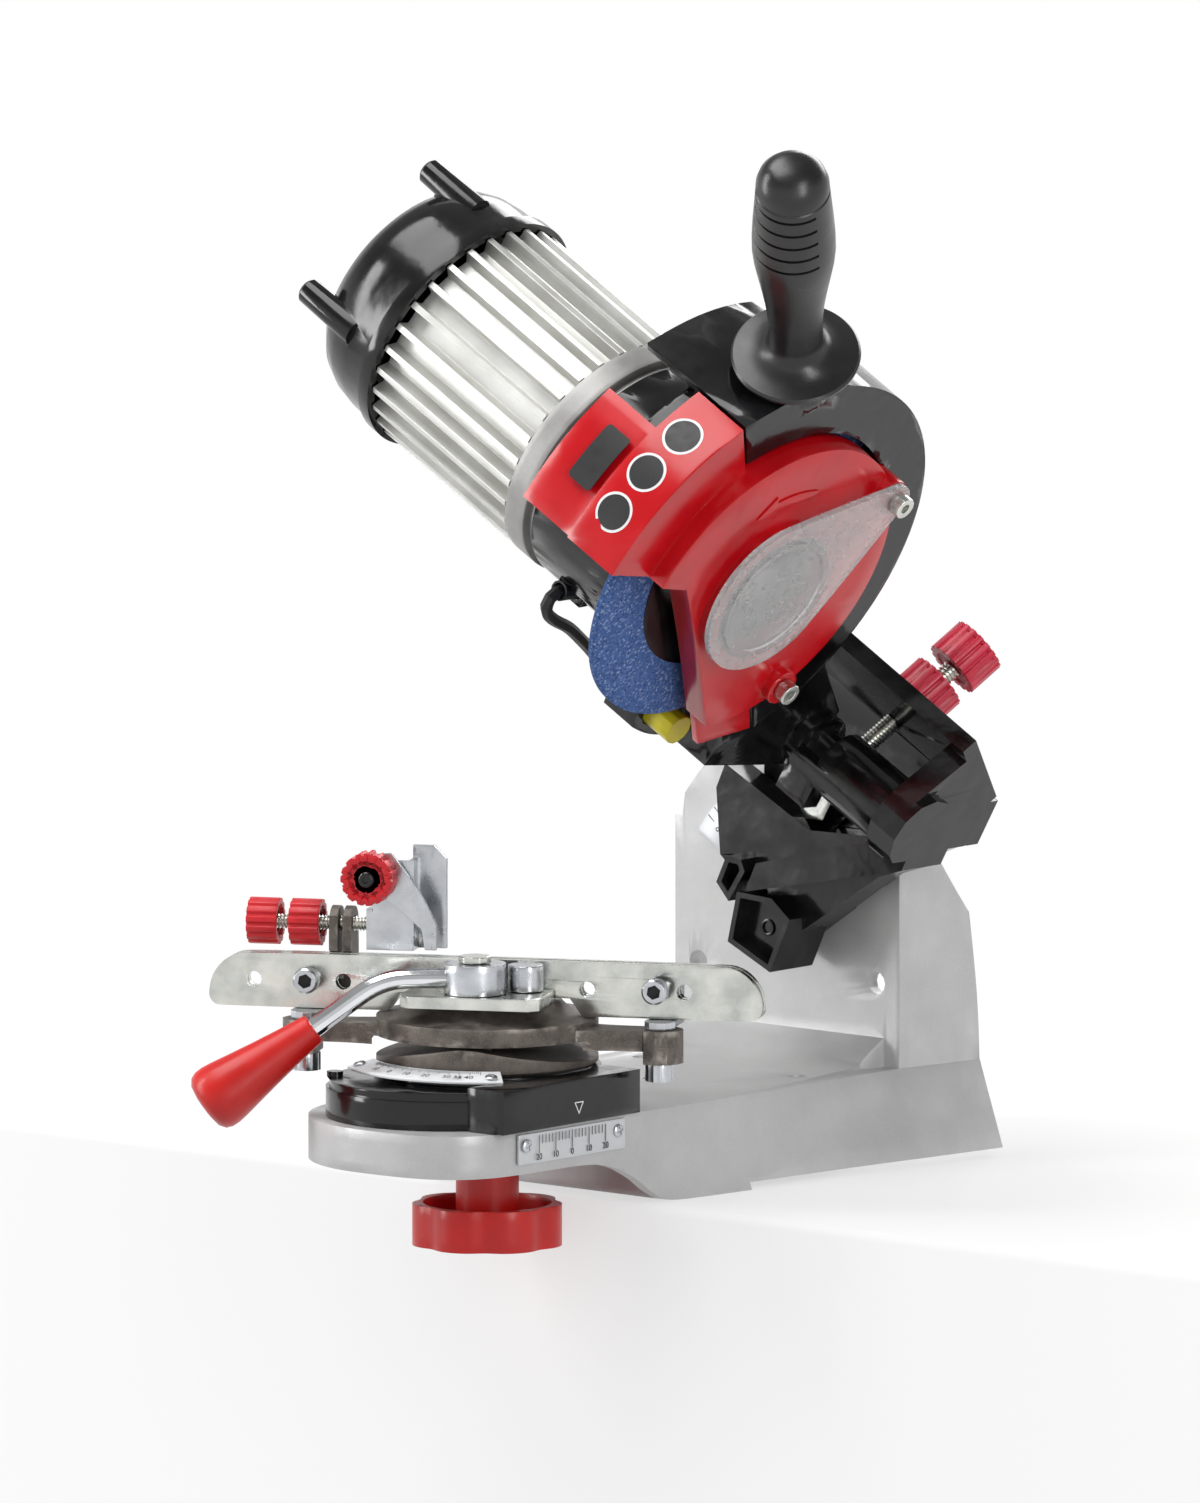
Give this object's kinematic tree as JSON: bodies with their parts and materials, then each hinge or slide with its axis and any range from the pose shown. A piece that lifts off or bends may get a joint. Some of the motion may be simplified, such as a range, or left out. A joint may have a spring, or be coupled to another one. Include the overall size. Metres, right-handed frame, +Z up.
{
  "type": "electric chainsaw sharpener",
  "caption": "Bench grinder for saw chain: cast base with a turning chain vise in front and a tilting motor head on a column, swung down by its handle onto the chain.",
  "frame": {"origin": "middle of the foot face under the base", "axes": "+Y from the vise at the front to the column at the back, +X to the right of a person at the vise, +Z up"},
  "size_m": [0.2995, 0.3423, 0.4488],
  "materials": {
    "silver_paint": "satin silver paint on cast aluminium",
    "black_enamel": "gloss black enamel",
    "red_enamel": "gloss red",
    "cast_iron": "bare, slightly rough",
    "grey_casting": "bare casting",
    "aluminium": "bare, extruded",
    "zinc": "yellowish zinc plating",
    "steel": "machined",
    "chrome": "polished",
    "scale_plate": "printed plate",
    "red_plastic": "moulded",
    "crimson_plastic": "moulded",
    "yellow_plastic": "moulded",
    "black_plastic": "moulded",
    "clear_cover": "clear, lightly frosted",
    "abrasive": "grainy blue abrasive",
    "windings": "lacquered copper",
    "black_rubber": "matt"
  },
  "bodies": {
    "base": {"base_casting": "silver_paint", "slide_scale": "scale_plate", "tilt_scale": "scale_plate", "tilt_pivot_bolt": "zinc"},
    "slide": {"slide_plate": "black_enamel", "angle_scale": "scale_plate", "clamp_stud": "steel"},
    "clamp_knob": {"clamp_knob": "red_plastic"},
    "seat": {"rotary_seat": "cast_iron"},
    "vise": {"vise_casting": "cast_iron", "clamp_plate": "zinc", "fixed_rail": "zinc", "rail_post_left": "steel", "rail_post_right": "steel", "rail_screw_left": "zinc", "rail_screw_right": "zinc", "cam_bolt": "steel", "stop_bracket": "zinc"},
    "thumb_nut_left": {"thumb_nut_left": "steel"},
    "thumb_nut_right": {"thumb_nut_right": "steel"},
    "rail": {"movable_rail": "zinc", "rail_pusher": "zinc"},
    "lever": {"cam_hub": "zinc", "lever_rod": "chrome", "lever_grip": "red_plastic"},
    "stop_slider": {"stop_carrier": "zinc"},
    "stop_screw": {"stop_screw": "red_plastic"},
    "stop_lock": {"stop_lock_knob": "red_plastic"},
    "pawl": {"stop_pawl": "steel"},
    "pawl_knob": {"pawl_knob": "red_plastic"},
    "tilt_frame": {"tilt_bracket": "black_enamel", "tilt_clamp_bolt": "zinc", "swing_pivot_pin": "steel", "torsion_spring": "steel"},
    "tilt_knob": {"tilt_knob": "red_plastic"},
    "depth_screw": {"depth_screw": "crimson_plastic"},
    "depth_lock": {"depth_lock_knob": "crimson_plastic"},
    "head": {"head_casting": "black_enamel", "motor_flange": "grey_casting", "motor_body": "aluminium", "motor_cap": "black_plastic", "stator": "windings", "front_bearing": "steel", "rear_bearing": "steel", "front_guard": "red_enamel", "lens_cover": "clear_cover", "lens_screw": "zinc", "guard_screw": "zinc", "handle_grip": "red_plastic", "lamp": "yellow_plastic", "lamp_lead": "black_rubber", "lead_sleeve": "black_rubber", "switch_body": "black_plastic"},
    "switch_rocker": {"switch_rocker": "red_plastic"},
    "wheel": {"grinding_wheel": "abrasive", "wheel_flange_inner": "black_plastic", "wheel_flange_outer": "zinc", "wheel_nut": "steel", "motor_shaft": "steel", "cooling_fan": "black_plastic"}
  },
  "joints": [
    {"name": "slide_travel", "type": "slide", "parent": "base", "child": "slide", "axis": [0, 1, 0], "range_m": [-0.02, 0.02]},
    {"name": "clamp_knob_turn", "type": "hinge", "parent": "slide", "child": "clamp_knob", "pos_m": [0, -0.115, 0], "axis": [0, 0, 1], "range_deg": [-180, 180]},
    {"name": "seat_turn", "type": "hinge", "parent": "slide", "child": "seat", "pos_m": [0, -0.115, 0.055], "axis": [0, 0, 1], "range_deg": [-50, 7]},
    {"name": "vise_tilt", "type": "hinge", "parent": "seat", "child": "vise", "pos_m": [0, -0.115, 0.066], "axis": [-0.4695, 0.8829, 0], "range_deg": [-10, 3]},
    {"name": "thumb_nut_left_turn", "type": "hinge", "parent": "vise", "child": "thumb_nut_left", "pos_m": [-0.05893, -0.1554, 0.054], "axis": [0, 0, 1], "range_deg": [-180, 180]},
    {"name": "thumb_nut_right_turn", "type": "hinge", "parent": "vise", "child": "thumb_nut_right", "pos_m": [0.06645, -0.08873, 0.054], "axis": [0, 0, 1], "range_deg": [-180, 180]},
    {"name": "lever_turn", "type": "hinge", "parent": "vise", "child": "lever", "pos_m": [0.01033, -0.13442, 0.091], "axis": [0, 0, 1], "range_deg": [0, 60]},
    {"name": "rail_slide", "type": "slide", "parent": "vise", "child": "rail", "axis": [-0.4695, 0.8829, 0], "range_m": [-0.0012, 0]},
    {"name": "stop_travel", "type": "slide", "parent": "vise", "child": "stop_slider", "axis": [0.8829, 0.4695, 0], "range_m": [-0.006, 0.003]},
    {"name": "stop_screw_turn", "type": "hinge", "parent": "stop_slider", "child": "stop_screw", "pos_m": [-0.0665, -0.13903, 0.1065], "axis": [0.8829, 0.4695, 0], "range_deg": [-2180, 1100]},
    {"name": "stop_lock_turn", "type": "hinge", "parent": "vise", "child": "stop_lock", "pos_m": [-0.0665, -0.13903, 0.1065], "axis": [0.8829, 0.4695, 0], "range_deg": [-180, 180]},
    {"name": "pawl_flip", "type": "hinge", "parent": "stop_slider", "child": "pawl", "pos_m": [-0.04062, -0.1366, 0.127], "axis": [-0.4695, 0.8829, 0], "range_deg": [-100, 0]},
    {"name": "pawl_knob_turn", "type": "hinge", "parent": "stop_slider", "child": "pawl_knob", "pos_m": [-0.04062, -0.1366, 0.127], "axis": [-0.4695, 0.8829, 0], "range_deg": [-180, 180]},
    {"name": "head_tilt", "type": "hinge", "parent": "base", "child": "tilt_frame", "pos_m": [0, 0.067, 0.096], "axis": [0, 1, 0], "range_deg": [-30, 15]},
    {"name": "tilt_knob_turn", "type": "hinge", "parent": "tilt_frame", "child": "tilt_knob", "pos_m": [0.0275, 0.1, 0.14363], "axis": [0, 1, 0], "range_deg": [-180, 180]},
    {"name": "depth_travel", "type": "slide", "parent": "tilt_frame", "child": "depth_screw", "axis": [0.3536, 0.7071, 0.6124], "range_m": [-0.006, 0.01]},
    {"name": "depth_lock_turn", "type": "hinge", "parent": "tilt_frame", "child": "depth_lock", "pos_m": [0.05336, 0.03, 0.15642], "axis": [0.3536, 0.7071, 0.6124], "range_deg": [-180, 180]},
    {"name": "head_swing", "type": "hinge", "parent": "tilt_frame", "child": "head", "pos_m": [0.0455, 0.022, 0.17481], "axis": [0.866, 0, -0.5], "range_deg": [0, 49], "stiffness_Nm_per_rad": 4, "springref_deg": -91.67},
    {"name": "switch_rock", "type": "hinge", "parent": "head", "child": "switch_rocker", "pos_m": [0.07247, 0.0202, 0.26951], "axis": [0.5, 0, 0.866], "range_deg": [0, 16]},
    {"name": "wheel_spin", "type": "hinge", "parent": "head", "child": "wheel", "pos_m": [0.09325, -0.078, 0.25751], "axis": [0.866, 0, -0.5], "continuous": true}
  ],
  "couplings": [
    {"joint": "rail_slide", "follows": "lever_turn", "m_per_rad": -0.0011459},
    {"joint": "stop_screw_turn", "follows": "stop_travel", "rad_per_m": 6283.2}
  ]
}
